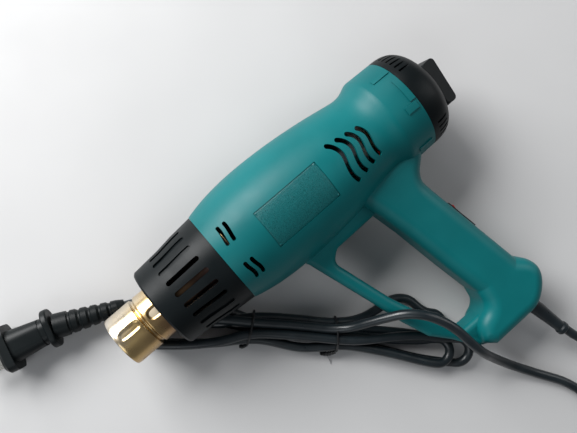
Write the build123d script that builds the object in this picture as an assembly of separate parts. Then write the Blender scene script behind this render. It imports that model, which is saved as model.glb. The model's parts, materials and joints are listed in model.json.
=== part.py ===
from build123d import *
import os
from math import cos, radians, sin, tan

os.makedirs("parts", exist_ok=True)

# Hot-air gun lying on its right side, all sizes in mm.
# Gun axes: X runs back along the barrel from the nozzle mouth, Y points away from the handle,
# Z comes out of the left side of the housing.

# barrel housing
wall = 2.6
front_x = 80.4
rear_x = 232.3
belly_r = 37.5
collar_x = 214.0
collar_r = 33.8
rim_drop = 0.4
relief_height = 0.5
relief_patches = (
    (219.0, 231.4, 44.0, 50.0), (218.6, 229.0, -56.0, -50.0), (227.6, 231.9, 4.0, 33.0),
    (222.0, 230.6, -6.0, 2.0),
)
barrel_curve = [
    (80.4, 32.6), (92.5, 35.3), (131.0, belly_r), (160.0, 35.6), (182.0, 32.8), (193.0, 31.0), (200.0, 30.2),
    (205.0, 30.7), (209.5, 32.4), (212.2, 33.5), (collar_x, collar_r),
]

# handle and finger guard
grip_half = 18.0
guard_half = 9.5
foot_y = -163.0

# front shroud
shroud_front_x = 32.0
shroud_wall = 2.4
shroud_curve = [(32.0, 27.0), (33.2, 28.0), (52.0, 29.4), (64.0, 31.0), (80.2, 32.3)]
slot_length = 25.0
slot_width = 3.2
slot_mid_x = 57.8
slot_step = 16.5
spigot_end_x = 88.0

# hot tube and heater
tube_r = 17.0
tube_wall = 0.7
tube_end_x = 108.0
flange_x = 88.0
flange_r = 28.8
sleeve_r = 16.1
sleeve_start_x = 23.0
board_half = 13.2
coil_r = 13.9
coil_wire = 1.2
coil_start_x = 29.0
coil_length = 62.0
coil_pitch = 5.2

# fan, duct and motor
duct_r = 27.0
duct_wall = 1.5
duct_end_x = 160.0
fan_r = 24.5
fan_x = 140.0
fan_width = 12.0
blade_count = 7
motor_r = 14.0
motor_x = 160.0
motor_length = 30.0
shaft_r = 1.15
shaft_gap = 0.05

# rear cap
cap_curve = [(232.5, 33.3), (240.5, 32.8), (245.8, 30.9), (249.9, 27.2), (253.2, 21.2), (256.0, 13.0)]
cap_wall = 2.2
block_top = 12.2
block_bottom = -18.8
block_half = 13.0
block_back_half = 6.0
block_taper_x = 256.0
block_back_x = 267.35
block_low_x = 263.95

# switch in the back of the grip
switch_x = 217.6
switch_y = -81.0
grip_slope = 12.7
rocker_half = 8.6
rocker_width = 11.0
rocker_tilt = 10.0
pivot_depth = 3.5
pin_r = 1.0
pin_gap = 0.05

# cord entry at the foot
cord_d = 6.4
boot_x = 220.6
boot_lean = 13.4
boot_length = 33.3

clamp_z = -18.0
clamp_pitch = 16.0
wire_r = 0.9
wire_bend = 3.0

# laying the gun on its side
lay_tilt = 7.3
lay_shift = (-133.5, 78.3, 37.61)

# mains cord and plug, in floor axes with the origin under the middle of the gun
lead_points = [
    (95.8, -115.5, 12.75), (104.6, -152.2, 8.05), (177.4, -174.2, 3.3), (155.8, -251.2, 3.3),
    (82.1, -237.4, 3.3), (82.9, -160.9, 3.3), (55.9, -120.0, 4.0), (42.9, -96.0, 17.0), (33.7, -76.0, 38.5),
    (30.7, -50.0, 42.5), (17.0, -27.2, 44.5), (-4.7, -18.0, 31.0), (-24.1, -12.0, 15.0),
]
bight_points = [(-20.1, -12.8, 3.3), (28.9, -23.8, 3.3), (28.9, -58.8, 3.3), (17.9, -77.8, 3.3)]
tail_points = [(-122.9, 95.4, 8.5), (-96.7, 83.5, 4.8), (-84.6, 65.2, 3.4), (-83.1, 48.2, 4.2)]
hank_middle = (-44.1, 3.8)
hank_turn = -45.0
hank_start = -46.0
hank_end = 30.0
hank_width = 22.4
hank_low = 0.9
hank_high = 17.3
tie_spots = (-36.0, 22.0)
hank_fan = [
    (-28.1, -27.8), (-13.1, -42.3), (-4.1, -54.3), (8.9, -71.8), (18.4, -82.6), (25.9, -87.8), (32.9, -87.8),
    (34.4, -82.8), (22.4, -69.8), (12.9, -53.3), (5.9, -40.8), (-4.1, -27.8), (-12.1, -15.8), (-20.1, -9.8),
]
hank_loop = [
    (-66.1, 35.2), (-78.1, 50.2), (-90.1, 58.2), (-102.3, 62.2), (-104.1, 74.2), (-109.1, 82.2),
    (-117.1, 84.2), (-124.1, 79.2), (-125.1, 70.2), (-120.6, 61.2), (-112.6, 51.2), (-102.6, 43.2),
    (-87.1, 30.7), (-77.1, 23.2),
]
plug_turn = 165.0
plug_spot = (-164.8, 114.5, 12.1)
pin_spots = ((0.0, 5.2), (-7.4, -3.2), (7.4, -3.2))

screw_spots = [(103.2, 31.6), (128.5, -46.5), (176.0, 28.4), (206.5, -24.2), (187.0, -53.0),
               (203.0, -118.0), (184.0, -152.5)]
boss_r = 3.4
screw_r = 1.5
head_r = 2.8


# ---------------------------------------------------------------- shared helpers

def laid(shape):
    """Turn a shape from gun axes to the way the gun lies on the floor."""
    return Location(lay_shift) * Rotation(lay_tilt, 0, 0) * shape


def turned(points):
    """Solid of revolution about the barrel axis from (x, radius) corners."""
    return revolve(make_face(Polyline(*points, close=True)), Axis.X)


def turned_curve(curve, inset, start_x, end_x):
    """Full round solid under a smooth barrel curve, drawn in by inset."""
    low = [(x, r - inset) for x, r in curve]
    edge = Spline(*low)
    sides = Polyline(low[-1], (low[-1][0], 0), (low[0][0], 0), low[0])
    body = revolve(make_face([edge, *sides.edges()]), Axis.X)
    length = end_x - start_x
    return body & Pos((start_x + end_x) / 2, 0, 0) * Box(length, 200, 200)


def tube_along_x(x0, x1, outer, inner):
    """Plain ring or tube along the barrel axis."""
    return turned([(x0, inner), (x1, inner), (x1, outer), (x0, outer)])


def rod(x, y, radius, z0, z1):
    """Upright cylinder in gun axes, from z0 to z1."""
    return Pos(x, y, (z0 + z1) / 2) * Cylinder(radius, z1 - z0)


def save(name, shape):
    export_step(shape, f"parts/{name}.step")


# ---------------------------------------------------------------- housing outline

def barrel_solid(inset):
    """Barrel of the housing, drawn in by inset: belly, waist and rear collar."""
    front = turned_curve(barrel_curve, inset, front_x, collar_x)
    collar = collar_r - inset
    rear = turned([(collar_x, 0), (collar_x, collar), (rear_x, collar - rim_drop), (rear_x, 0)])
    return front + rear


def grip_face():
    """Side outline of the grip and foot."""
    front_edge = Polyline((166, -20), (174.6, -46.5), (179.6, -65), (187.2, -100), (193.6, -127))
    foot_front = FilletPolyline((193.6, -127), (192.0, -139.0), (177.0, -144.5), (174.5, -156.5), radius=[9, 15])
    sole = Line((174.5, -156.5), (182, foot_y))
    sole_flat = Line((182, foot_y), (212, foot_y))
    bulge = Spline(
        (212, foot_y), (221.5, -161.4), (229.5, -156.0), (235.2, -148.6), (236.9, -141.0), (234.0, -133.0),
        (227.8, -126.2), tangents=((1, 0), (-0.7, 0.7)),
    )
    back = Polyline((227.8, -126.2), (212, -56), (210.4, -48))
    neck = Spline((210.4, -48), (212.4, -40.3), (218.5, -34), (224, -20))
    top = Line((224, -20), (166, -20))
    edges = [*front_edge.edges(), *foot_front.edges(), *sole.edges(), *sole_flat.edges(), *bulge.edges(),
             *back.edges(), *neck.edges(), *top.edges()]
    return make_face(edges)


def grip_hollow():
    """Side outline of the space inside the grip and foot."""
    return make_face(Polyline(
        (172, -20), (178, -49), (182.3, -65), (189.9, -100), (196.2, -128), (194, -140), (180.5, -147),
        (178.2, -155), (183.4, foot_y + wall), (212, foot_y + wall), (221, -157.5), (228, -152.5), (232.6, -146.5), (234, -141),
        (232.4, -134.6), (225, -126.2), (209.4, -56), (207.8, -47), (209.5, -38), (214, -32), (214, -20),
        close=True,
    ))


def guard_face(inset):
    """Side outline of the finger guard, from the barrel down to the foot."""
    outer = Polyline(
        (190, -20), (108, -20), (119.5, -39.7), (135.1, -86.3), (142.5, -110.5), (150, -129), (161, -142),
        (171.5, -157.5), (182, foot_y), (200, foot_y), (200, -141.3), (186, -141.3), (170.5, -141.1),
    )
    inner = FilletPolyline(
        (170.5, -141.1), (155.6, -113.1), (146.4, -92.3), (132.6, -49.5), (139.6, -43.4), (176, -42.6),
        (190, -20), radius=[60, 60, 6, 6, 6],
    )
    face = make_face([*outer.edges(), *inner.edges()])
    return offset(face, amount=-inset, kind=Kind.INTERSECTION) if inset else face


def slab(face, half):
    """Face drawn out to both sides of the parting plane."""
    return extrude(face, amount=half, both=True)


def softened(shape, radius):
    """Round the long edges of a slab that lie on its two side faces."""
    top = shape.faces().sort_by(Axis.Z)[-1]
    bottom = shape.faces().sort_by(Axis.Z)[0]
    return fillet(top.edges() + bottom.edges(), radius)


def outer_body():
    """Outside shape of the closed housing."""
    grip = softened(slab(grip_face(), grip_half), 9.0)
    guard = softened(slab(guard_face(0), guard_half), 4.0)
    return barrel_solid(0) + grip + guard + collar_relief()


def collar_patch(x0, x1, angle0, angle1):
    """Raised patch on the rear collar between two x positions and two angles (0 = +Z)."""
    ring = tube_along_x(x0, x1, collar_r + relief_height, collar_r - 2)
    middle = radians((angle0 + angle1) / 2)
    far = 2 * collar_r
    reach = far * tan(radians(angle1 - angle0) / 2)
    wedge = extrude(make_face(Polyline((0, 0), (far, reach), (far, -reach), close=True)), amount=x1 - x0)
    outward = (0, sin(middle), cos(middle))
    return ring & (Plane(origin=(x0, 0, 0), x_dir=outward, z_dir=(1, 0, 0)).location * wedge)


def collar_relief():
    """Low moulded relief at the rear rim on both sides: two latch lands, a band and a tongue."""
    left = [collar_patch(*patch) for patch in relief_patches]
    return left + [mirror(patch, about=Plane.XY) for patch in left]


def inner_space():
    """Hollow inside the housing."""
    barrel = barrel_solid(wall)
    mouth = tube_along_x(front_x - 1, front_x + 4, 30.0, 0.01)
    rear = tube_along_x(rear_x - 4, rear_x + 1, collar_r - rim_drop - wall, 0.01)
    grip = softened(slab(grip_hollow(), grip_half - wall), 6.0)
    guard = slab(guard_face(2.4), guard_half - 2.4)
    return barrel + mouth + rear + grip + guard


def wavy_slot(points, width):
    """Upright cutter along a gently waving line across the barrel, with round ends, through both sides."""
    sketch = trace(Spline(*points), width)
    for end in (points[0], points[-1]):
        sketch = sketch + Pos(*end) * Circle(width / 2)
    return extrude(sketch, amount=60, both=True)


def intake_slots():
    """Four S shaped air intakes over the motor, on both sides."""
    wave = ((-2.4, 1.0), (0.7, 0.72), (1.9, 0.34), (0.0, -0.24), (-0.6, -0.6), (0.9, -1.0))
    cutters = []
    for x, reach, bow in ((172.8, 14.2, 1.0), (180.3, 13.0, 1.0), (187.2, 11.8, 0.85), (194.0, 10.4, 0.6)):
        cutters.append(wavy_slot([(x + bow * across, reach * along) for across, along in wave], 3.0))
    return cutters


def cooling_slots():
    """Two pairs of short curved vents behind the shroud, on both sides."""
    upper = ((0.5, 18.4), (0.4, 15.4), (-0.2, 12.0), (-0.8, 8.2))
    lower = ((-0.5, -7.4), (-0.1, -10.8), (0.7, -14.4), (0.5, -18.0))
    cutters = []
    for x in (88.9, 93.7):
        for wave in (upper, lower):
            cutters.append(wavy_slot([(x + across, y) for across, y in wave], 2.5))
    return cutters


def plate_band(r_in, r_out, grow):
    """Curved patch on the left flank of the barrel, for the name plate and its recess."""
    low = turned_curve(barrel_curve, r_in, 109, 160)
    high = turned_curve(barrel_curve, r_out, 109, 160)
    window = Pos(134.5, -0.6, 40) * Box(47.4 + grow, 25.4 + grow, 60)
    return (high - low) & window


def ribs():
    """Ring ribs that carry the tube flange and the air duct, open below for the leads."""
    flange_rib = tube_along_x(flange_x + 1.3, flange_x + 3.3, 34.0, 24.0)
    duct_front = tube_along_x(118.8, 121.0, 35.5, duct_r + 0.2)
    duct_back = tube_along_x(duct_end_x + 0.2, duct_end_x + 2.2, 34.0, duct_r + 0.6)
    gap = Pos(130, -32, 0) * Box(100, 10, 16)
    return flange_rib + ((duct_front + duct_back) - gap)


def housing():
    """Whole housing with its hollow, ribs, bosses, vents and openings, before it is parted."""
    outside = outer_body()
    shell = outside - inner_space()
    bosses = [rod(x, y, boss_r, -grip_half * 2, grip_half * 2) for x, y in screw_spots]
    shell = shell + ((ribs() + bosses) & outside)
    shell = shell - intake_slots() - cooling_slots() - plate_band(0.8, -5, 0.5)
    shell = shell - tube_along_x(front_x - 2, front_x + 3, 30.0, 0.01)
    shell = shell - tube_along_x(front_x - 10, front_x, 60.0, 0.01)
    shell = shell - switch_place() * Box(21.4, 13.8, 12)
    shell = shell - cord_place() * Pos(0, 0, -1) * Cylinder(4.9, 16)
    shell = shell - cord_place() * Pos(0, 0, -9.3) * Cylinder(6.6, 9.6)
    shell = shell - cap_groove()
    return shell


def clamp_posts():
    """Two posts of the left shell that straddle the cord and take the clamp screws."""
    posts = []
    for side in (1, -1):
        post = Cylinder(2.7, 19.6, align=(Align.CENTER, Align.CENTER, Align.MIN))
        bore = Cylinder(1.42, 6.2, align=(Align.CENTER, Align.CENTER, Align.MIN))
        spot = Pos(side * clamp_pitch / 2, -cord_d / 2, clamp_z) * Rotation(-90, 0, 0)
        posts.append(cord_place() * spot * (post - bore))
    return posts


def cap_groove():
    """Groove inside the rear rim that holds the cap."""
    return tube_along_x(226.0, 228.2, 32.0, 29.0)


def switch_place():
    """Middle of the switch on the back of the grip: local X down the grip, local Z outward."""
    down = (sin(radians(grip_slope)), -cos(radians(grip_slope)), 0)
    outward = (cos(radians(grip_slope)), sin(radians(grip_slope)), 0)
    return Plane(origin=(switch_x, switch_y, 0), x_dir=down, z_dir=outward).location


def cord_place():
    """Where the cord leaves the foot: local Z points out along the cord."""
    return Pos(boot_x, foot_y, 0) * Rotation(90, boot_lean, 0)


def seat_depth(x, y):
    """How far to the right of the parting plane a screw head sits."""
    if y > -30:
        return 12.0
    return 6.0 if x < 150 else 13.0


def screw(x, y, grow):
    """Housing screw driven from the right side, or its clearance hole when grown."""
    seat = -seat_depth(x, y)
    shank = rod(x, y, screw_r + grow, seat - 0.5, 5.0)
    head = rod(x, y, head_r + grow, seat - 2.2, seat)
    return shank + head


def screw_holes():
    """Head pockets through the right shell and shank holes into the left bosses."""
    cutters = []
    for x, y in screw_spots:
        seat = -seat_depth(x, y)
        cutters.append(rod(x, y, screw_r + 0.02, seat - 1, 6.0))
        cutters.append(rod(x, y, head_r + 0.2, -60, seat))
    return cutters


def housing_left(whole):
    return (whole & Pos(0, 0, 50) * Box(800, 800, 100)) - screw_holes() + clamp_posts()


def housing_right(whole):
    return (whole & Pos(0, 0, -50) * Box(800, 800, 100)) - screw_holes()


def housing_screws():
    return Compound([screw(x, y, 0) for x, y in screw_spots])


def name_plate():
    """Blank curved plate set in the recess on the left flank."""
    return plate_band(0.78, 0.28, 0)


# ---------------------------------------------------------------- front end

def heat_shroud():
    """Black slotted shroud over the hot tube, with a spigot into the housing."""
    outside = revolve_profile(shroud_curve)
    hollow = revolve_profile([(x, r - shroud_wall) for x, r in shroud_curve])
    hollow = hollow - tube_along_x(shroud_front_x - 1, shroud_front_x + shroud_wall, 40, 0.01)
    spigot = tube_along_x(78.0, spigot_end_x, 29.8, 27.2)
    shroud = outside - hollow + spigot - tube_along_x(78.0, spigot_end_x + 1, 27.2, 0.01)
    shroud = shroud - tube_along_x(shroud_front_x - 1, shroud_front_x + 5, tube_r + 1.2, 0.01)
    for side in (0, 180):
        for turn in (-1.5, -0.5, 0.5, 1.5):
            shroud = shroud - shroud_slot(side + turn * slot_step, 40)
        for turn in (-4.5, -3.5, -2.5, 2.5, 3.5, 4.5):
            angle = side + turn * slot_step
            shroud = shroud - shroud_slot(angle, 0) + shroud_slot_floor(angle)
    return shroud


def revolve_profile(curve):
    """Full round solid under straight segments."""
    return turned([(curve[0][0], 0), *curve, (curve[-1][0], 0)])


def shroud_slot(angle, depth):
    """Round ended slot along the shroud; depth 0 gives a shallow groove cutter."""
    reach = 40.0
    start = 20.0 if depth else 27.6
    cutter = extrude(SlotOverall(slot_length, slot_width), amount=reach - start)
    return Rotation(-angle, 0, 0) * Pos(slot_mid_x, 0, start) * cutter


def shroud_slot_floor(angle):
    """Thin web left under a blind slot."""
    web = turned([(44.0, 27.4), (52.0, 28.0), (64.0, 30.0), (72.0, 30.6), (72.0, 29.2), (44.0, 26.2)])
    return web & shroud_slot(angle, 40)


def nozzle_tube():
    """Steel outlet tube with a rolled groove, reaching back to the air duct, with a clamped flange."""
    bore = tube_r - tube_wall
    outline = [
        (0, bore), (18.2, bore), (19.6, bore - 1.4), (21.0, bore - 1.4), (22.4, bore), (tube_end_x, bore),
        (tube_end_x, tube_r), (flange_x + 1.2, tube_r), (flange_x + 1.2, flange_r), (flange_x + 0.1, flange_r),
        (flange_x + 0.1, tube_r), (22.7, tube_r), (21.3, tube_r - 1.4), (19.3, tube_r - 1.4), (17.9, tube_r),
        (0, tube_r),
    ]
    return turned(outline) - lead_hole()


def lead_hole():
    """Hole through the underside of the tube for the heater leads."""
    return Pos(99.0, -16, 0) * Rotation(90, 0, 0) * Cylinder(4.6, 10)


def insulating_sleeve():
    """Mica sleeve lining the hot tube."""
    return tube_along_x(sleeve_start_x, tube_end_x, sleeve_r, sleeve_r - 0.6) - lead_hole()


def former_board(turn):
    """One of the two crossing mica boards, half notched so that they interlock."""
    board = Pos(61.0, 0, 0) * Box(70.0, 2 * board_half, 0.8)
    notch_x = 61.0 + (17.5 if turn else -17.5)
    notch = Pos(notch_x, 0, 0) * Box(35.2, 0.9, 2)
    return Rotation(turn, 0, 0) * (board - notch)


def heater_coil():
    """Resistance wire wound round the crossed boards."""
    path = Helix(pitch=coil_pitch, height=coil_length, radius=coil_r)
    section = Plane(origin=path @ 0, z_dir=path % 0) * Circle(coil_wire / 2)
    return Pos(coil_start_x, 0, 0) * Rotation(0, 90, 0) * sweep(section, path=path, is_frenet=True)


def heater_disc():
    """Mica disc with four air windows that centres the boards in the sleeve."""
    disc = tube_along_x(96.2, 97.4, 15.3, 0.01)
    for turn in (45, 135, 225, 315):
        disc = disc - Rotation(turn, 0, 0) * Pos(96.8, 0, 8.8) * Box(4, 8.4, 6.4)
    return disc


def thermal_cutout():
    """Small bimetal safety switch on the back of the mica disc."""
    return Pos(100.2, 0, 0) * Box(5.6, 9.0, 5.0)


# ---------------------------------------------------------------- air supply

def air_duct():
    """Plastic duct from the fan to the hot tube, with spokes that hold the motor."""
    shell = turned([
        (103.6, tube_r + 0.1), (108.4, tube_r + 0.1), (121.0, duct_r - duct_wall),
        (duct_end_x, duct_r - duct_wall), (duct_end_x, duct_r), (120.4, duct_r), (108.0, tube_r + 1.6),
        (103.6, tube_r + 1.6),
    ])
    front_lip = tube_along_x(121.2, 123.0, 31.5, duct_r - 0.2)
    back_lip = tube_along_x(duct_end_x - 2.0, duct_end_x, 31.5, duct_r - 0.2)
    lips = (front_lip + back_lip) - Pos(140, -32, 0) * Box(60, 10, 16)
    ring = tube_along_x(duct_end_x - 4.0, motor_x + 6.0, motor_r + 1.6, motor_r + 0.05)
    floor = tube_along_x(duct_end_x - 4.0, motor_x - 0.1, motor_r + 1.6, 6.0)
    spokes = []
    for turn in (45, 135, 225, 315):
        spokes.append(Rotation(turn, 0, 0) * Pos(duct_end_x - 2, 0, 20.6) * Box(4.0, 2.4, 10.6))
    return shell + lips + ring + floor + spokes


def motor_can():
    """Drawn steel can of the motor with a bearing boss in front."""
    can = tube_along_x(motor_x, motor_x + motor_length, motor_r, motor_r - 1.0)
    front = tube_along_x(motor_x, motor_x + 1.0, motor_r - 0.9, 3.0)
    boss = tube_along_x(motor_x - 2.6, motor_x + 1.0, 5.0, 3.0)
    return can + front + boss


def motor_bushings():
    """Two plain bearings for the shaft."""
    front = tube_along_x(motor_x - 2.6, motor_x + 1.6, 3.0, shaft_r + shaft_gap)
    back_x = motor_x + motor_length
    back = tube_along_x(back_x, back_x + 3.0, 3.0, shaft_r + shaft_gap)
    return Compound([front, back])


def motor_magnets():
    """Two arc magnets inside the can."""
    ring = tube_along_x(motor_x + 4.0, motor_x + 26.0, motor_r - 1.0, 10.6)
    gap = Pos(motor_x + 15, 0, 0) * Box(30, 8.0, 40)
    return ring - gap


def motor_end_bell():
    """Plastic end of the motor with the back bearing seat."""
    back_x = motor_x + motor_length
    return tube_along_x(back_x, back_x + 3.0, motor_r, 3.0)


def motor_armature():
    """Wound rotor, commutator and the long shaft that carries the fan."""
    shaft = tube_along_x(fan_x - 1.0, motor_x + motor_length + 4.0, shaft_r, 0)
    core = tube_along_x(motor_x + 6.0, motor_x + 23.0, 9.8, 1.0)
    for turn in (0, 120, 240):
        slot = Pos(motor_x + 14.5, 0, 7.4) * Box(20.0, 2.2, 5.6)
        core = core - Rotation(turn, 0, 0) * slot
    commutator = tube_along_x(motor_x + 24.5, motor_x + 28.6, 3.8, 1.0)
    return shaft + core + commutator


def fan_wheel():
    """Axial fan with a closed hub and twisted blades."""
    hub = turned([
        (fan_x + 0.4, shaft_r), (fan_x + 0.4, 6.0), (fan_x + 2.0, 7.5), (fan_x + fan_width, 7.5),
        (fan_x + fan_width, shaft_r),
    ])
    blades = []
    for index in range(blade_count):
        blade = Pos(fan_x + 6.2, 0, 15.6) * Rotation(0, 0, 38) * Box(13.6, 1.4, 17.4)
        blades.append(Rotation(index * 360 / blade_count, 0, 0) * blade)
    band = tube_along_x(fan_x + 0.4, fan_x + fan_width, fan_r, shaft_r + 0.01)
    return (hub + blades) & band


def diode_board():
    """Round circuit board behind the motor."""
    return tube_along_x(200.0, 201.6, 12.5, 0.01)


def board_posts():
    """Two motor terminals that carry the board."""
    posts = [Pos(196.5, side * 9.0, 0) * Box(7.0, 0.8, 2.8) for side in (1, -1)]
    return Compound(posts)


def diodes():
    """Four rectifier diodes in a row."""
    spots = [(-4.5, -3.6), (-1.5, -3.6), (1.5, -3.6), (4.5, -3.6)]
    return Compound([Pos(203.0, y, z) * Cylinder(1.3, 5.0) for y, z in spots])


def board_capacitor():
    return Pos(203.9, 0, 5.2) * Box(4.6, 9.0, 4.0)


# ---------------------------------------------------------------- rear cap

def rear_cap():
    """Black cap that closes the barrel and carries the slanted standing block."""
    dome = turned_curve(cap_curve, 0, cap_curve[0][0], cap_curve[-1][0])
    hollow = Pos(-cap_wall, 0, 0) * turned_curve(cap_curve, cap_wall, cap_curve[0][0], cap_curve[-1][0])
    side = make_face(Polyline((244, block_top), (block_back_x, block_top), (block_low_x, block_bottom),
                              (244, block_bottom), close=True))
    plan = make_face(Polyline((244, -block_half), (block_taper_x, -block_half), (270, -block_back_half),
                              (270, block_back_half), (block_taper_x, block_half), (244, block_half), close=True))
    tapered = extrude(Plane.XZ * plan, amount=40, both=True)
    block = softened(slab(fillet(side.vertices(), 3.0), block_half) & tapered, 2.5)
    pocket_height = block_top - block_bottom - 5.6
    pocket = Pos(250, (block_top + block_bottom) / 2, 0) * Box(14, pocket_height, 2 * block_half - 7)
    spigot = tube_along_x(226.2, 235.0, 30.7, 28.6)
    catch = tube_along_x(226.2, 228.0, 31.8, 30.6)
    web = tube_along_x(cap_curve[0][0], 235.0, 32.6, 30.6)
    cap = (dome + block) - hollow - pocket + spigot + catch + web
    for middle in (90, -90):
        for step in range(-7, 8):
            cutter = Pos(242.5, 0, 32.6) * Box(12.0, 1.5, 2.4)
            cap = cap - Rotation(-(middle + step * 7.5), 0, 0) * cutter
    return cap


# ---------------------------------------------------------------- switch

def switch_body():
    """Case of the three position switch, with its flush bezel."""
    bezel = Pos(0, 0, 0.65) * Box(24.0, 16.2, 1.2)
    case = Pos(0, 0, -6.2) * Box(21.0, 13.4, 13.6)
    room = Pos(0, 0, -2.6) * Box(19.8, rocker_width + 0.7, 12.6)
    pins = Pos(0, 0, -pivot_depth) * Rotation(90, 0, 0) * Cylinder(pin_r + pin_gap, 13.0)
    return switch_place() * (bezel + case - room - pins)


def switch_rocker():
    """Red rocker, resting with its upper end standing out."""
    side = Polyline((-rocker_half, 1.3), (0, 0.4), (rocker_half, 1.3), (rocker_half, -1.6), (2.4, -6.6),
                    (-2.4, -6.6), (-rocker_half, -1.6), close=True)
    blank = extrude(Plane.XZ * make_face(side), amount=rocker_width / 2, both=True)
    pins = Pos(0, 0, -pivot_depth) * Rotation(90, 0, 0) * Cylinder(pin_r, 12.6)
    tip = Pos(0, 0, -pivot_depth) * Rotation(0, rocker_tilt, 0) * Pos(0, 0, pivot_depth)
    return switch_place() * tip * (blank + pins)


def switch_terminals():
    """Three blade terminals under the switch."""
    blades = [Pos(x, 0, -16.0) * Box(0.8, 4.8, 6.0) for x in (-6.5, 0, 6.5)]
    return Compound([switch_place() * blade for blade in blades])


# ---------------------------------------------------------------- cord entry

def cord_boot():
    """Tapered rubber sleeve held in the foot by a collar."""
    outer = turned_about_z([
        (cord_d / 2, -8.0), (6.4, -8.0), (6.4, -4.6), (4.8, -4.6), (4.8, 1.4), (5.2, 3.0),
        (3.9, boot_length - 4.4), (4.7, boot_length - 3.4), (4.7, boot_length - 0.8),
        (4.2, boot_length), (cord_d / 2, boot_length),
    ])
    return cord_place() * outer


def turned_about_z(points):
    """Solid of revolution about local Z from (radius, z) corners."""
    corners = [(r, 0, z) for r, z in points]
    return revolve(make_face(Polyline(*corners, close=True)), Axis.Z)


def cord_inlet():
    """Straight end of the cord inside the boot and the foot."""
    return cord_place() * Pos(0, 0, (boot_length - 30.0) / 2) * Cylinder(cord_d / 2, boot_length + 30.0)


def cord_clamp():
    """Bar across the cord, screwed down on two posts of the left shell."""
    bar = Pos(0, 0, clamp_z) * Box(22.0, 3.0, 8.0)
    for side in (1, -1):
        bar = bar - Pos(side * clamp_pitch / 2, 0, clamp_z) * Rotation(90, 0, 0) * Cylinder(1.45, 5)
    return cord_place() * Pos(0, -cord_d / 2 - 1.52, 0) * bar


def clamp_screws():
    """Two short screws through the clamp bar."""
    screws = []
    for side in (1, -1):
        shank = Cylinder(1.4, 9.0, align=(Align.CENTER, Align.CENTER, Align.MIN))
        head = Pos(0, 0, -1.8) * Cylinder(2.6, 1.8, align=(Align.CENTER, Align.CENTER, Align.MIN))
        spot = Pos(side * clamp_pitch / 2, -cord_d / 2 - 3.02, clamp_z) * Rotation(-90, 0, 0)
        screws.append(cord_place() * spot * (shank + head))
    return Compound(screws)


# ---------------------------------------------------------------- wires

def wire(points):
    """Insulated wire through the given gun-axis points, with eased corners."""
    path = FilletPolyline(*points, radius=wire_bend)
    section = Plane(origin=path @ 0, z_dir=path % 0) * Circle(wire_r)
    return sweep(section, path=path)


def mains_wires():
    """Two wires from the stripped cord up the grip to the switch."""
    left = wire([(213.4, -133.5, 2.0), (209.0, -112.0, 3.5), (202.4, -86.0, 3.5)])
    right = wire([(213.4, -133.5, -2.0), (209.4, -114.0, -3.5), (204.6, -94.0, -3.5)])
    return Compound([left, right])


def heater_wires():
    """Two wires from the switch along the underside of the duct into the hot tube."""
    runs = []
    for z in (2.4, -2.4):
        run = [(199.0, -74.0, z), (196.0, -50.0, z), (190.0, -29.8, z), (99.0, -29.8, z), (99.0, -8.0, z)]
        runs.append(wire(run))
    return Compound(runs)


def motor_wires():
    """Two wires from the switch to the board behind the motor."""
    runs = []
    for z in (6.4, -6.4):
        runs.append(wire([(201.0, -70.0, z), (200.7, -40.0, z), (200.7, -11.3, z)]))
    return Compound(runs)


# ---------------------------------------------------------------- mains cord on the floor

def cord_tube(points):
    """Round cord along straight runs with tangent arcs; prints the arc radii."""
    radii = []
    for before, corner, after in zip(points, points[1:], points[2:]):
        first = Vector(*corner) - Vector(*before)
        second = Vector(*after) - Vector(*corner)
        half_turn = radians(first.get_angle(second)) / 2
        radii.append(0.45 * min(first.length, second.length) / tan(half_turn))
    print("arc radii", [round(radius, 1) for radius in radii])
    path = FilletPolyline(*points, radius=radii)
    section = Plane(origin=path @ 0, z_dir=path % 0) * Circle(cord_d / 2)
    tube = sweep(section, path=path)
    print("tube volume", round(tube.volume), "section x length", round(section.area * path.length))
    print("tube length", round(path.length, 1))
    return tube


def cord_lead():
    return cord_tube(lead_points)


def cord_bight():
    return cord_tube(bight_points)


def cord_tail():
    return cord_tube(tail_points)


def cord_hank():
    """Outer shape of the folded and tied length of cord."""
    length = hank_end - hank_start
    middle = Pos(0, 0, (hank_low + hank_high) / 2) * Box(length, hank_width, hank_high - hank_low)
    middle = fillet(middle.edges().filter_by(Axis.X), 5.0)
    middle = Pos((hank_start + hank_end) / 2, 0, 0) * middle
    middle = Pos(*hank_middle, 0) * Rotation(0, 0, hank_turn) * middle
    fan = extrude(make_face(Polyline(*hank_fan, close=True)), amount=6.5)
    loop = extrude(make_face(Polyline(*hank_loop, close=True)), amount=11.0)
    return middle + Pos(0, 0, hank_low) * fan + Pos(0, 0, hank_low) * loop


def tie(along):
    """Twist tie round the hank at a distance along it, with its twisted end."""
    outer = RectangleRounded(hank_width + 2.0, hank_high - hank_low + 1.7, 5.6)
    inner = RectangleRounded(hank_width + 0.2, hank_high - hank_low + 0.2, 5.0)
    ring = extrude(outer - inner, amount=1.3, both=True)
    ring = Rotation(0, 90, 90) * ring
    twist = Pos(0, -hank_width / 2 - 4.4, 2.0) * Rotation(90, 0, 0) * Cylinder(1.3, 7.4)
    middle = Pos(along, 0, (hank_low + hank_high) / 2)
    return Pos(*hank_middle, 0) * Rotation(0, 0, hank_turn) * middle * (ring + twist)


def tie_front():
    return tie(tie_spots[0])


def tie_back():
    return tie(tie_spots[1])


# ---------------------------------------------------------------- mains plug

def plug_place():
    """Back of the plug collar: local Z points out along the pins, local Y up."""
    ahead = (cos(radians(plug_turn)), sin(radians(plug_turn)), 0)
    side = (sin(radians(plug_turn)), -cos(radians(plug_turn)), 0)
    return Plane(origin=plug_spot, x_dir=side, z_dir=ahead).location


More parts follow.
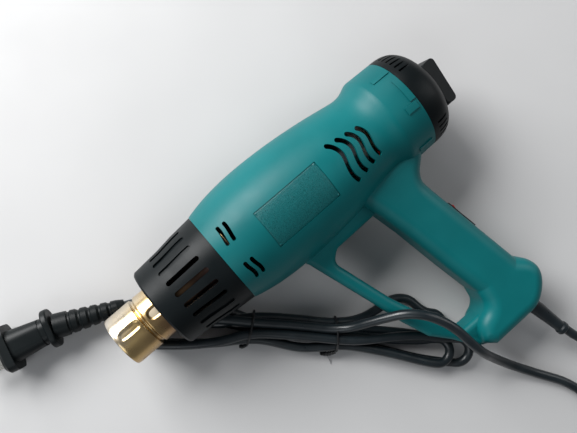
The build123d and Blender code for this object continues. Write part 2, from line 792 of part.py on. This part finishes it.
def plug_body():
    """Moulded plug: finger collar, waist, flared body and front flange with a bevelled rim."""
    collar = extrude(RectangleRounded(26, 21, 9), amount=4.4)
    collar = fillet(collar.edges().group_by(Axis.Z)[-1] + collar.edges().group_by(Axis.Z)[0], 1.2)
    waist = extrude(RectangleRounded(17, 16, 6.5), amount=9.0)
    body = Pos(0, 0, 8.0) * extrude(RectangleRounded(18, 16.6, 6), amount=22.0, taper=-5)
    flange = Pos(0, 0, 28.4) * extrude(RectangleRounded(30.5, 23.6, 7), amount=7.6)
    flange = chamfer(flange.edges().group_by(Axis.Z)[-1], 2.2)
    plug = collar + waist + body + flange
    for spot in pin_spots:
        plug = plug - Pos(*spot, 33.0) * Box(6.4, 1.6, 6.2)
    return plug_place() * plug


def plug_pins():
    """Three flat pins."""
    pins = [Pos(*spot, 42.0) * Box(6.4, 1.6, 24.0) for spot in pin_spots]
    pins = [pin & Pos(0, 0, 44.0) * Box(60, 60, 28.0) for pin in pins]
    return Compound([plug_place() * pin for pin in pins])


def plug_boot():
    """Ribbed bend relief between plug and cord."""
    tip = Vector(*tail_points[0])
    root = Vector(*plug_spot)
    along = (tip - root).normalized()
    place = Plane(origin=plug_spot, z_dir=along).location
    length = (tip - root).length
    outline = [(0, 0.2), (8.4, 0.2), (8.0, 9.0)]
    for step in range(5):
        z = 9.0 + step * 6.6
        r = 7.7 - step * 0.5
        outline += [(r - 0.8, z + 0.8), (r - 0.8, z + 1.8), (r, z + 2.6), (r - 0.2, z + 6.0)]
    outline += [(4.5, length), (0, length)]
    return place * turned_about_z(outline)


# ---------------------------------------------------------------- build

gun_parts = (
    housing_screws, name_plate, heat_shroud, nozzle_tube, insulating_sleeve, heater_coil, heater_disc,
    thermal_cutout, air_duct, motor_can, motor_bushings, motor_magnets, motor_end_bell, motor_armature,
    fan_wheel, diode_board, board_posts, diodes, board_capacitor, rear_cap, switch_body, switch_rocker,
    switch_terminals, cord_boot, cord_inlet, cord_clamp, clamp_screws, mains_wires, heater_wires, motor_wires,
)
floor_parts = (
    cord_lead, cord_bight, cord_tail, cord_hank, tie_front, tie_back, plug_body, plug_pins, plug_boot,
)


def build():
    whole = housing()
    save("housing_left", laid(housing_left(whole)))
    save("housing_right", laid(housing_right(whole)))
    save("heater_board_upright", laid(former_board(0)))
    save("heater_board_flat", laid(former_board(90)))
    for maker in gun_parts:
        save(maker.__name__, laid(maker()))
    for maker in floor_parts:
        save(maker.__name__, maker())


build()
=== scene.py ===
import json
import math

import bpy
from mathutils import Matrix, Vector
from mathutils.bvhtree import BVHTree


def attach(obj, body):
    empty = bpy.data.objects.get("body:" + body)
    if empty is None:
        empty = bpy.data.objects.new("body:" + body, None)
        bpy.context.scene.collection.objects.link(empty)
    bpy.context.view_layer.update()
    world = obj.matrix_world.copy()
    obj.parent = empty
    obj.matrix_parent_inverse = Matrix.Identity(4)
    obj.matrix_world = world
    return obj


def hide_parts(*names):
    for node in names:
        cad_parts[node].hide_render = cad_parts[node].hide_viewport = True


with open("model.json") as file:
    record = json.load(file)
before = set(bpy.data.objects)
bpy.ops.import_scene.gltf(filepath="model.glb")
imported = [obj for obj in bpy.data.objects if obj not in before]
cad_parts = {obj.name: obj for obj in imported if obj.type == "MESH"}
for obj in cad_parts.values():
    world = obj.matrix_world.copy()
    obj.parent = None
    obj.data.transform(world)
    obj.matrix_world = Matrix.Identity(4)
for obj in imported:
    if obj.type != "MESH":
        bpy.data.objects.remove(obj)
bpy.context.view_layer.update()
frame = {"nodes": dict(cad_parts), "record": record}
nodes = frame["nodes"]
scene = bpy.context.scene

# The gun lies on its right side. Gun axes: X back along the barrel from the outlet, Y away from
# the handle, Z out of the left side. Sizes below are in mm and are turned into metres on use.
LAY_TILT = math.radians(7.3)
LAY_SHIFT = (-133.5, 78.3, 37.61)

HANK_MIDDLE = (-44.1, 3.8)
HANK_TURN = math.radians(-45.0)
CORD_D = 6.4


def metres(point):
    return tuple(value / 1000 for value in point)


def gun_point(x, y, z):
    """A point in gun axes (mm), as the gun lies, in metres."""
    c, s = math.cos(LAY_TILT), math.sin(LAY_TILT)
    return metres((x + LAY_SHIFT[0], y * c - z * s + LAY_SHIFT[1], y * s + z * c + LAY_SHIFT[2]))


def hank_point(along, across, up):
    """A point in the hank's own axes (mm), in metres."""
    c, s = math.cos(HANK_TURN), math.sin(HANK_TURN)
    return metres((HANK_MIDDLE[0] + along * c - across * s, HANK_MIDDLE[1] + along * s + across * c, up))


# ---------------------------------------------------------------- camera

def add_camera():
    """Camera above the gun, looking almost straight down."""
    ahead = Vector((0.108, -0.0231, -0.9939)).normalized()
    right = Vector((0.7554, -0.6480, 0.0972)).normalized()
    up = right.cross(ahead).normalized()
    right = ahead.cross(up)
    data = bpy.data.cameras.new("camera")
    data.lens = 41.55
    data.sensor_width = 36
    data.sensor_fit = "HORIZONTAL"
    data.clip_start = 0.01
    camera = bpy.data.objects.new("camera", data)
    scene.collection.objects.link(camera)
    turn = Matrix((right, up, -ahead)).transposed().to_4x4()
    camera.matrix_world = Matrix.Translation((-0.0502, 0.0804, 0.4616)) @ turn
    scene.camera = camera


add_camera()


# ---------------------------------------------------------------- mains cord

# from the boot, round a loop beside the gun, up over the finger guard and down to the hank
LEAD = [
    (95.8, -115.5, 12.75), (104.6, -152.2, 8.05), (177.4, -174.2, 3.3), (155.8, -251.2, 3.3),
    (82.1, -237.4, 3.3), (82.9, -160.9, 3.3), (55.9, -120.0, 4.0), (42.9, -96.0, 17.0), (33.7, -76.0, 38.5),
    (30.7, -50.0, 42.5), (17.0, -27.2, 44.5), (-4.7, -18.0, 31.0),
]


# length of a half octagon's end over the radius of the circle inside it
END_SHARE = 0.414


def fold(along, across, radius, start_up, end_up, turn):
    """Points round a half-circle fold with short straight ends; turn is its first angle and sense."""
    first, sense = turn
    ease = END_SHARE * radius
    way = (-sense * math.sin(math.radians(first)) * ease, sense * math.cos(math.radians(first)) * ease)
    points = [(along + radius * math.cos(math.radians(first)) - way[0],
               across + radius * math.sin(math.radians(first)) - way[1], start_up)]
    for step in range(4):
        angle = math.radians(first + sense * (22.5 + 45 * step))
        reach = radius / math.cos(math.radians(22.5))
        up = start_up + (end_up - start_up) * (step + 1) / 5
        points.append((along + reach * math.cos(angle), across + reach * math.sin(angle), up))
    points.append((along - radius * math.cos(math.radians(first)) - way[0],
                   across - radius * math.sin(math.radians(first)) - way[1], end_up))
    return points


# the folded length, strand by strand, in the hank's own axes
HANK = [
    # in over the top and round under the nozzle
    (25, 3.2, 15.4), (-6, 4.6, 14.7), (-36, 4.4, 14.8), (-50, 5.2, 15.6), (-64, 4.6, 15.8),
    (-78, 2.6, 15.4),
    *fold(-96, -5.6, 8.4, 15.6, 16.0, (90, 1)),
    (-80, -13.2, 16.1), (-66, -11.4, 16.0), (-54, -9.0, 15.4), (-36, -2.4, 14.9), (-8, -2.2, 15.0),
    (22, -3.3, 14.8),
    # wide fold at the near end
    (36, -3.2, 15.2), (50, -0.8, 15.4), (66, 2.0, 15.4), (82, 3.2, 15.4), (96, 2.8, 14.8),
    *fold(108, -6.2, 8.8, 11.4, 4.4, (90, -1)),
    (94, -15.0, 3.4), (78, -13.2, 3.4), (61, -10.2, 3.4), (46, -7.2, 3.4), (30, -4.2, 3.4), (10, -3.8, 3.4),
    (-10, -4.0, 3.4), (-32, -3.6, 3.4),
    # lowest fold under the nozzle
    (-46, -8.0, 3.4), (-60, -12.2, 3.4), (-76, -13.8, 3.4), (-90, -14.0, 3.4),
    *fold(-104, -5.4, 8.6, 3.4, 3.4, (270, -1)),
    (-88, 3.2, 3.4), (-78, 2.6, 3.4), (-67, 1.4, 6.6), (-56, 1.4, 9.9), (-44, 6.0, 9.9), (-30, 8.2, 9.0),
    (-6, 8.2, 9.0), (14, 7.2, 9.1),
    # arch that passes under the finger guard
    (26, 8.0, 8.4), (38, 10.4, 5.4), (50, 17.0, 3.6), (60, 26.0, 3.4), (72, 27.6, 3.4), (81, 20.6, 3.4),
    *fold(90, 9.9, 8.3, 3.4, 3.4, (90, -1)),
    (80, 2.6, 3.4), (64, 3.6, 3.4), (44, 3.6, 3.4), (20, 3.3, 3.4), (-8, 3.3, 3.4), (-30, 3.3, 3.4),
    # middle fold under the nozzle
    (-40, 6.4, 3.4), (-52, 10.2, 5.0), (-63, 9.0, 9.4), (-76, 4.4, 9.9), (-88, 3.0, 9.8),
    *fold(-101, -5.6, 8.5, 9.8, 9.8, (90, 1)),
    (-86, -14.0, 9.8), (-72, -12.4, 9.8), (-58, -11.2, 9.8), (-44, -8.2, 9.4), (-30, -6.8, 9.1),
    (-18, -8.4, 8.6), (-2, -11.4, 7.4), (14, -9.6, 8.4),
    # narrow fold at the near end, then out towards the plug
    (28, -7.0, 9.4), (46, -8.6, 9.8), (64, -11.0, 9.8), (80, -14.0, 9.8),
    *fold(94, -7.2, 8.4, 9.8, 9.4, (270, 1)),
    (82, -0.4, 9.6), (66, -1.2, 9.5), (50, -1.0, 9.3), (36, -0.4, 9.2), (22, 0.0, 9.1),
    (-6, 1.4, 8.8), (-32, 0.8, 9.0), (-44, 0.8, 6.4),
]

TAIL = [(-82.1, 45.0, 3.6), (-85.1, 64.0, 3.4), (-96.7, 83.5, 4.8), (-122.9, 95.4, 8.5)]


def smooth_curve(name, points, radius, closed=False):
    """Round bar along one smooth NURBS line, with its radius set at each point; all in metres."""
    data = bpy.data.curves.new(name, "CURVE")
    data.dimensions = "3D"
    data.bevel_depth = 1.0
    data.bevel_resolution = 6
    data.resolution_u = 10
    data.use_fill_caps = not closed
    spline = data.splines.new("NURBS")
    spline.points.add(len(points) - 1)
    for slot, point in zip(spline.points, points):
        slot.co = (*point, 1.0)
        slot.radius = radius
    spline.order_u = 3
    spline.use_endpoint_u = not closed
    spline.use_cyclic_u = closed
    thing = bpy.data.objects.new(name, data)
    scene.collection.objects.link(thing)
    return thing


def add_cord():
    """The whole cord from the boot to the plug, as one bar."""
    route = [metres(point) for point in LEAD]
    route += [hank_point(*point) for point in HANK]
    route += [metres(point) for point in TAIL]
    return smooth_curve("mains_cord", route, CORD_D / 2000)


cord = add_cord()


# wire ties: radius, distance from cord to the middle of the wire, and its lowest heights over the floor
TIE_R = 0.75
TIE_GAP = 0.6
TIE_LOWEST = 0.9
TWIST_LOWEST = 1.0


def around(strands, gap):
    """Closed line (across, up) pulled tight round a set of cord sections."""
    line = []
    for step in range(36):
        angle = math.radians(step * 10)
        way = (math.cos(angle), math.sin(angle))
        far = max(strands, key=lambda spot: spot[0] * way[0] + spot[1] * way[1])
        line.append((far[0] + gap * way[0], max(far[1] + gap * way[1], TIE_LOWEST)))
    return line


def add_tie(name, along, strands, knot, slant):
    """Wire tie pulled round the hank, with its two ends twisted together at the lower side.

    knot holds how far the twist runs along the hank, how far it stands out, and the size of the twist.
    """
    run, stand_out, size = knot
    ring = around(strands, CORD_D / 2 + TIE_GAP)
    points = [hank_point(along + slant * across / 10, across, up) for across, up in ring]
    pieces = [smooth_curve(name, points, TIE_R / 1000, closed=True)]
    low = min(across for across, up in ring)
    for phase in (0, math.pi):
        twist = []
        for step in range(17):
            angle = phase + step * 1.1
            share = step / 16
            out = low - 0.3 - stand_out * math.sin(share * 2.2)
            side = along + slant * out / 10 + run * share
            up = 7.4 - 3.6 * share
            twist.append(hank_point(side + 0.4 * size * math.cos(angle), out + size * math.cos(angle),
                                    max(up + size * math.sin(angle), TWIST_LOWEST)))
        pieces.append(smooth_curve(f"{name}_twist_{len(pieces)}", twist, TIE_R / 1000))
    return pieces


front_tie = add_tie("hank_tie_front", -36.0, [
    (4.4, 14.8), (-2.6, 14.9), (8.0, 9.1), (-7.0, 9.1), (4.2, 3.4), (-4.4, 3.4),
], (-4.5, 2.2, 0.8), 1.2)
back_tie = add_tie("hank_tie_back", 22.0, [
    (3.4, 15.3), (-3.5, 14.7), (7.7, 8.8), (-8.0, 9.1), (3.4, 3.5), (-4.1, 3.5),
], (-10.0, 2.4, 1.1), -1.0)
# bare end of the wire inside the back tie
wire_end = smooth_curve("tie_wire_end", [
    hank_point(14.6, -12.6, 3.6), hank_point(17.6, -15.6, 3.0), hank_point(20.4, -18.8, 1.8),
    hank_point(21.6, -21.8, 0.7),
], 0.0003)
tie_pieces = [*front_tie, *back_tie, wire_end]

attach(cord, "gun")
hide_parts("cord_lead", "cord_bight", "cord_tail", "cord_hank")
for piece in tie_pieces:
    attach(piece, "gun")
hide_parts("tie_front")
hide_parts("tie_back")


# ---------------------------------------------------------------- outlet tube and name plate

TUBE_R = 17.0
TUBE_WALL = 0.7
TUBE_END = 108.0
FLANGE = (88.1, 89.2, 28.8)
SHAPED_END = 44.0
SHAPED_STEPS = 126
PLAIN_X = 60.0
GROOVE_X = 20.3
DIMPLE_TURNS = (16, 106, 196, 286)
# dimples before and behind the groove: middle, half length, half width, depth, angle past the turn
DIMPLES = ((10.4, 7.6, 2.9, 0.8, 0), (33.2, 9.6, 3.7, 1.1, -4))


def hollow(x, angle, middle_x, half_length, middle_angle, half_width, depth):
    """Depth at (x, angle) of a pressed dimple with steep, rounded flanks; mm and degrees."""
    along = abs(x - middle_x) / half_length
    turn = (angle - middle_angle + 180) % 360 - 180
    across = abs(math.radians(turn)) * TUBE_R / half_width
    spread = (along ** 5 + across ** 2.6) ** 0.5
    if spread >= 1:
        return 0.0
    return depth * (1 - spread ** 4)


def tube_radius(x, angle):
    """Outer radius of the outlet tube: rolled groove, and four pressed dimples on each side of it."""
    groove = 1.5 * math.exp(-((x - GROOVE_X) / 1.15) ** 4)
    lip = 0.25 * math.exp(-((x - 0.3) / 0.6) ** 2)
    dents = 0.0
    for turn in DIMPLE_TURNS:
        for middle, half_length, half_width, depth, shift in DIMPLES:
            dents += hollow(x, angle, middle, half_length, turn + shift, half_width, depth)
    return TUBE_R - groove - lip - dents


def spaced(start, end, count):
    """Even steps from start to end, both included."""
    return [start + (end - start) * step / count for step in range(count + 1)]


def mesh_piece(name, verts, faces):
    """Smooth mesh object from points in metres."""
    mesh = bpy.data.meshes.new(name)
    mesh.from_pydata(verts, [], faces)
    mesh.update()
    mesh.polygons.foreach_set("use_smooth", [True] * len(faces))
    thing = bpy.data.objects.new(name, mesh)
    scene.collection.objects.link(thing)
    return thing


def add_outlet():
    """Outlet tube with its flange, as one closed skin of rings."""
    around_count = 160
    shaped = spaced(0.0, SHAPED_END, SHAPED_STEPS)
    outside = [*shaped, PLAIN_X, FLANGE[0]]
    profile = [(x, 0.0, True) for x in outside]
    profile += [(FLANGE[0], FLANGE[2], False), (FLANGE[1], FLANGE[2], False)]
    profile += [(FLANGE[1], TUBE_R, False)]
    profile += [(TUBE_END, TUBE_R, False), (TUBE_END, TUBE_R - TUBE_WALL, False)]
    profile += [(x, -TUBE_WALL, True) for x in (FLANGE[1], PLAIN_X, *reversed(shaped))]
    verts, faces = [], []
    for x, value, shaped in profile:
        for step in range(around_count):
            angle = 360 * step / around_count
            radius = tube_radius(x, angle) + value if shaped else value
            turn = math.radians(angle)
            verts.append(gun_point(x, radius * math.sin(turn), radius * math.cos(turn)))
    rings = len(profile)
    for ring in range(rings):
        for step in range(around_count):
            a = ring * around_count + step
            b = ring * around_count + (step + 1) % around_count
            c = ((ring + 1) % rings) * around_count + (step + 1) % around_count
            d = ((ring + 1) % rings) * around_count + step
            faces.append((a, b, c, d))
    return mesh_piece("outlet_tube", verts, faces)


# name plate: corners in gun axes, distances of the rim's lines from the edge, heights over the CAD plate
PLATE_X = (110.85, 158.15)
PLATE_Y = (-13.25, 12.05)
PLATE_RIM = (0.0, 0.55, 1.0, 1.5)
PLATE_LIFT = (-0.28, 0.28, 0.28, -0.12)
PLATE_INNER = 1.8
ABOVE = 60


def rimmed(start, end, steps):
    """Places of the mesh lines from one edge of the plate to the other, close together at its rim."""
    places = [start + reach for reach in PLATE_RIM]
    places += spaced(start + PLATE_INNER, end - PLATE_INNER, steps)
    return places + [end - reach for reach in reversed(PLATE_RIM)]


def rim_lift(index, count):
    """Height over the CAD plate of one of count mesh lines."""
    edge = min(index, count - 1 - index)
    return PLATE_LIFT[edge] if edge < len(PLATE_LIFT) else PLATE_LIFT[-1]


def kept_inside(value, limits):
    """The value, held 0.2 mm inside the limits, so that a ray always meets the CAD plate."""
    return min(max(value, limits[0] + 0.2), limits[1] - 0.2)


def add_plate():
    """Name plate with a low bevelled rim, laid on the curve of the CAD plate."""
    source = nodes["name_plate"]
    lookup = BVHTree.FromPolygons([tuple(v.co) for v in source.data.vertices],
                                  [tuple(f.vertices) for f in source.data.polygons])
    inward = Vector(gun_point(0, 0, -1)) - Vector(gun_point(0, 0, 0))
    xs = rimmed(*PLATE_X, 26)
    ys = rimmed(*PLATE_Y, 16)
    verts, faces = [], []
    for i, x in enumerate(xs):
        for j, y in enumerate(ys):
            start = Vector(gun_point(x, y, ABOVE))
            safe = Vector(gun_point(kept_inside(x, PLATE_X), kept_inside(y, PLATE_Y), ABOVE))
            hit = lookup.ray_cast(safe, inward)[0]
            depth = (hit - safe).length
            height = min(rim_lift(i, len(xs)), rim_lift(j, len(ys))) / 1000
            verts.append(tuple(start + inward.normalized() * (depth - height)))
    wide = len(ys)
    for i in range(len(xs) - 1):
        for j in range(wide - 1):
            a = i * wide + j
            faces.append((a, a + wide, a + wide + 1, a + 1))
    return mesh_piece("plate_skin", verts, faces)


outlet = add_outlet()
plate = add_plate()
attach(outlet, "gun")
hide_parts("nozzle_tube")
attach(plate, "gun")
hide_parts("name_plate")


# ---------------------------------------------------------------- materials

class Shader:
    """A Principled material with its nodes placed by short calls."""

    def __init__(self, name):
        self.material = bpy.data.materials.new(name)
        self.material.use_nodes = True
        self.tree = self.material.node_tree
        self.shader = self.tree.nodes["Principled BSDF"]
        self.coords = self.tree.nodes.new("ShaderNodeTexCoord")
        self.heights = []

    def set(self, **values):
        for key, value in values.items():
            self.shader.inputs[key.replace("_", " ")].default_value = value
        return self

    def link(self, source, target):
        self.tree.links.new(source, target)

    def noise(self, scale, detail=3.0, stretch=None, distortion=0.0):
        """Noise over object coordinates, features per metre; stretch scales the three axes."""
        node = self.tree.nodes.new("ShaderNodeTexNoise")
        node.inputs["Scale"].default_value = scale
        node.inputs["Detail"].default_value = detail
        node.inputs["Distortion"].default_value = distortion
        self.link(self.mapped(stretch), node.inputs["Vector"])
        return node.outputs["Fac"]

    def mapped(self, stretch):
        if stretch is None:
            return self.coords.outputs["Object"]
        node = self.tree.nodes.new("ShaderNodeMapping")
        node.inputs["Scale"].default_value = stretch
        self.link(self.coords.outputs["Object"], node.inputs["Vector"])
        return node.outputs["Vector"]

    def ramp(self, source, stops):
        """Colour ramp with (position, (r, g, b)) stops."""
        node = self.tree.nodes.new("ShaderNodeValToRGB")
        while len(node.color_ramp.elements) < len(stops):
            node.color_ramp.elements.new(0.5)
        for element, (position, colour) in zip(node.color_ramp.elements, stops):
            element.position = position
            element.color = (*colour, 1.0)
        self.link(source, node.inputs["Fac"])
        return node.outputs["Color"]

    def spread(self, source, low, high, start=0.3, end=0.7):
        """Map a noise value to the range low..high."""
        node = self.tree.nodes.new("ShaderNodeMapRange")
        node.inputs["From Min"].default_value = start
        node.inputs["From Max"].default_value = end
        node.inputs["To Min"].default_value = low
        node.inputs["To Max"].default_value = high
        self.link(source, node.inputs["Value"])
        return node.outputs["Result"]

    def sum(self, first, second):
        node = self.tree.nodes.new("ShaderNodeMath")
        node.operation = "ADD"
        self.link(first, node.inputs[0])
        self.link(second, node.inputs[1])
        return node.outputs["Value"]

    def colour(self, source):
        self.link(source, self.shader.inputs["Base Color"])
        return self

    def roughness(self, source):
        self.link(source, self.shader.inputs["Roughness"])
        return self

    def bump(self, source, depth, strength=1.0):
        """Bump of the given depth in metres, on top of the earlier ones."""
        node = self.tree.nodes.new("ShaderNodeBump")
        node.inputs["Strength"].default_value = strength
        node.inputs["Distance"].default_value = depth
        self.link(source, node.inputs["Height"])
        if self.heights:
            self.link(self.heights[-1], node.inputs["Normal"])
        self.heights.append(node.outputs["Normal"])
        self.link(node.outputs["Normal"], self.shader.inputs["Normal"])
        return self


TEAL_DARK = (0.0002, 0.088, 0.094)
TEAL_LIGHT = (0.0004, 0.132, 0.140)


def moulded(name, dark, light, rough, grain=1800, depth=0.00004, specular=0.4, coat=0.0):
    """Moulded plastic or rubber: soft colour drift, fine spark texture, uneven gloss."""
    s = Shader(name)
    drift = s.noise(14, 4)
    s.colour(s.ramp(drift, [(0.3, dark), (0.72, light)]))
    s.roughness(s.spread(s.noise(55, 5), rough[0], rough[1]))
    s.bump(s.noise(grain, 2), depth, 0.6)
    s.bump(s.noise(260, 3), depth * 1.5, 0.25)
    s.set(Specular_IOR_Level=specular, Coat_Weight=coat, Coat_Roughness=0.25)
    return s.material


def metal(name, dark, light, rough, stretch=(1, 1, 1), depth=0.00001):
    """Metal with fine drawn lines and a slightly uneven tint."""
    s = Shader(name)
    s.colour(s.ramp(s.noise(60, 4), [(0.3, dark), (0.7, light)]))
    s.roughness(s.spread(s.noise(120, 4, stretch), rough[0], rough[1]))
    s.bump(s.noise(2200, 2, stretch), depth, 0.5)
    s.set(Metallic=1.0)
    return s.material


# how far the heat tint reaches along the tube, and how far the painted shade reaches to each side of its
# middle
TINT_LENGTH = 70
PAINTED_SHADE_HALF = 14


def outlet_steel():
    """Stainless outlet tube, heat tinted brown towards the shroud, with painted shade making its handle
    side, turned from the key lamp, straw to brown.
    """
    s = Shader("heat_tint_and_painted_shade_steel")
    place = s.tree.nodes.new("ShaderNodeSeparateXYZ")
    s.link(s.coords.outputs["Object"], place.inputs["Vector"])
    front, middle = LAY_SHIFT[0], LAY_SHIFT[1]
    along = s.spread(place.outputs["X"], 0.0, 0.62, front / 1000, (front + TINT_LENGTH) / 1000)
    low_side, high_side = (middle - PAINTED_SHADE_HALF) / 1000, (middle + PAINTED_SHADE_HALF) / 1000
    # painted shade: the tube turns straw to brown towards its handle side, the side turned from the key
    # lamp
    across = s.spread(place.outputs["Y"], 0.46, 0.0, low_side, high_side)
    mixed = s.sum(s.sum(along, across), s.spread(s.noise(45, 5, distortion=0.6), 0.0, 0.22))
    s.colour(s.ramp(mixed, [
        (0.05, (0.62, 0.58, 0.52)), (0.24, (0.64, 0.55, 0.41)), (0.44, (0.66, 0.47, 0.21)),
        (0.80, (0.34, 0.21, 0.11)), (1.0, (0.10, 0.06, 0.05)),
    ]))
    s.roughness(s.spread(s.noise(90, 3), 0.25, 0.34))
    s.bump(s.noise(1200, 2, (4, 1, 1)), 0.000003, 0.4)
    s.set(Metallic=1.0)
    return s.material


def cord_rubber():
    """Black cord sheath with a soft sheen, faint scuffs and slight waviness."""
    s = Shader("cord_sheath")
    s.colour(s.ramp(s.noise(90, 5), [(0.35, (0.0055, 0.0095, 0.0120)), (0.7, (0.0110, 0.0170, 0.0205))]))
    s.roughness(s.spread(s.noise(160, 5), 0.27, 0.40))
    s.bump(s.noise(140, 2), 0.0002, 0.35)
    s.bump(s.noise(1500, 2), 0.00003, 0.5)
    s.set(Specular_IOR_Level=0.5)
    return s.material


def plate_finish():
    """Teal plate with a fine sparkling grain, a little darker than the housing."""
    s = Shader("teal_plate")
    grain = s.noise(2300, 1)
    s.colour(s.ramp(s.sum(s.spread(grain, 0.0, 0.8), s.spread(s.noise(14, 4), 0.0, 0.2)), [
        (0.1, (0.0002, 0.052, 0.055)), (0.9, (0.0020, 0.120, 0.126)),
    ]))
    s.roughness(s.spread(grain, 0.24, 0.46))
    s.bump(grain, 0.0002, 0.8)
    s.set(Specular_IOR_Level=0.4)
    return s.material


materials = {
    "housing": moulded("teal_housing", TEAL_DARK, TEAL_LIGHT, (0.40, 0.50), grain=1500, depth=0.00003,
                       specular=0.24),
    "plate": plate_finish(),
    "charcoal": moulded("charcoal_plastic", (0.0014, 0.0030, 0.0036), (0.0034, 0.0060, 0.0070),
                        (0.40, 0.52), grain=1300, depth=0.00005, specular=0.17),
    "tube_steel": outlet_steel(),
    "screw_steel": metal("plated_steel", (0.35, 0.35, 0.36), (0.6, 0.6, 0.6), (0.25, 0.45)),
    "mica": moulded("mica_laminate", (0.30, 0.24, 0.16), (0.55, 0.48, 0.36), (0.4, 0.7), grain=600),
    "heating_wire": metal("heating_wire", (0.25, 0.16, 0.12), (0.5, 0.36, 0.28), (0.3, 0.5)),
    "cutout": metal("cutout_case", (0.5, 0.5, 0.5), (0.7, 0.7, 0.7), (0.25, 0.4)),
    "duct": moulded("duct_plastic", (0.30, 0.29, 0.26), (0.42, 0.41, 0.37), (0.4, 0.6)),
    "motor_steel": metal("motor_steel", (0.4, 0.4, 0.42), (0.65, 0.65, 0.66), (0.25, 0.4), (1, 8, 8)),
    "bushing": metal("bushing_bronze", (0.45, 0.28, 0.12), (0.65, 0.42, 0.2), (0.35, 0.5)),
    "magnet": moulded("ferrite", (0.02, 0.02, 0.022), (0.05, 0.05, 0.05), (0.5, 0.7)),
    "end_bell": moulded("natural_nylon", (0.62, 0.60, 0.54), (0.75, 0.73, 0.68), (0.4, 0.6)),
    "armature": metal("rotor_steel", (0.2, 0.17, 0.15), (0.4, 0.33, 0.28), (0.35, 0.55), (20, 1, 1)),
    "fan": moulded("fan_nylon", (0.015, 0.015, 0.016), (0.035, 0.035, 0.037), (0.4, 0.6)),
    "board": moulded("circuit_board", (0.22, 0.14, 0.05), (0.38, 0.26, 0.10), (0.35, 0.5)),
    "diode": moulded("epoxy", (0.01, 0.01, 0.01), (0.03, 0.03, 0.03), (0.3, 0.45)),
    "capacitor": moulded("dipped_film", (0.35, 0.08, 0.015), (0.5, 0.14, 0.03), (0.15, 0.3)),
    "switch_black": moulded("switch_plastic", (0.008, 0.008, 0.009), (0.02, 0.02, 0.022), (0.25, 0.4)),
    "rocker_red": moulded("rocker_plastic", (0.30, 0.012, 0.010), (0.42, 0.02, 0.016), (0.18, 0.3),
                          coat=0.3),
    "terminal": metal("stamped_brass", (0.55, 0.42, 0.16), (0.75, 0.6, 0.3), (0.25, 0.4)),
    "cord": cord_rubber(),
    "wire": moulded("wire_sheath", (0.25, 0.02, 0.015), (0.4, 0.04, 0.03), (0.35, 0.5)),
    "tie": moulded("tie_plastic", (0.004, 0.0045, 0.005), (0.010, 0.011, 0.012), (0.3, 0.45)),
    "plug": moulded("plug_rubber", (0.0014, 0.0026, 0.0030), (0.0034, 0.0056, 0.0062), (0.38, 0.50),
                    grain=1100, depth=0.00005, specular=0.22),
    "pin_metal": metal("nickel_plate", (0.6, 0.58, 0.52), (0.8, 0.78, 0.72), (0.18, 0.3)),
}


def dress(thing, slot):
    """Give an object one finish from the table."""
    if not thing.material_slots:
        thing.data.materials.append(materials[slot])
    for place in thing.material_slots:
        place.material = materials[slot]


for entry in frame["record"]["subparts"]:
    thing = nodes.get(entry["node"])
    if thing is not None:
        dress(thing, entry["material_slot"])
dress(cord, "cord")
dress(outlet, "tube_steel")
dress(plate, "plate")
for piece in tie_pieces:
    dress(piece, "tie")
dress(wire_end, "screw_steel")


# ---------------------------------------------------------------- stage and light

FLOOR_REACH = 3.0
LIGHT_AIM = (0, 0, 0.03)


def add_floor():
    """Plain pale floor under the gun."""
    mesh = bpy.data.meshes.new("floor")
    corners = [(x * FLOOR_REACH, y * FLOOR_REACH, 0) for x, y in ((-1, -1), (1, -1), (1, 1), (-1, 1))]
    mesh.from_pydata(corners, [], [(0, 1, 2, 3)])
    floor = bpy.data.objects.new("floor", mesh)
    scene.collection.objects.link(floor)
    s = Shader("pale_floor")
    s.colour(s.ramp(s.noise(6, 3), [(0.3, (0.47, 0.47, 0.47)), (0.7, (0.51, 0.51, 0.51))]))
    s.roughness(s.spread(s.noise(20, 3), 0.55, 0.7))
    mesh.materials.append(s.material)


def add_area(name, place, size, power, tint=(1, 1, 1)):
    """Soft lamp aimed at the gun."""
    data = bpy.data.lights.new(name, "AREA")
    data.shape = "RECTANGLE"
    data.size, data.size_y = size
    data.energy = power
    data.color = tint
    lamp = bpy.data.objects.new(name, data)
    lamp.location = place
    ahead = Vector(LIGHT_AIM) - Vector(place)
    lamp.rotation_euler = ahead.to_track_quat("-Z", "Y").to_euler()
    scene.collection.objects.link(lamp)


def add_world():
    """Even, faintly cool light from all round."""
    world = bpy.data.worlds.new("studio")
    scene.world = world
    world.use_nodes = True
    back = world.node_tree.nodes["Background"]
    back.inputs["Color"].default_value = (0.9, 0.93, 1.0, 1.0)
    back.inputs["Strength"].default_value = 0.15


add_floor()
add_area("key", (-0.20, 0.95, 0.68), (0.8, 0.6), 24.0)
add_area("fill", (-0.9, -0.3, 0.9), (0.8, 0.8), 3.2, (0.93, 0.97, 1.0))
add_area("rim", (0.95, -0.1, 0.7), (0.4, 0.8), 3.0)
add_world()

scene.view_settings.view_transform = "Standard"
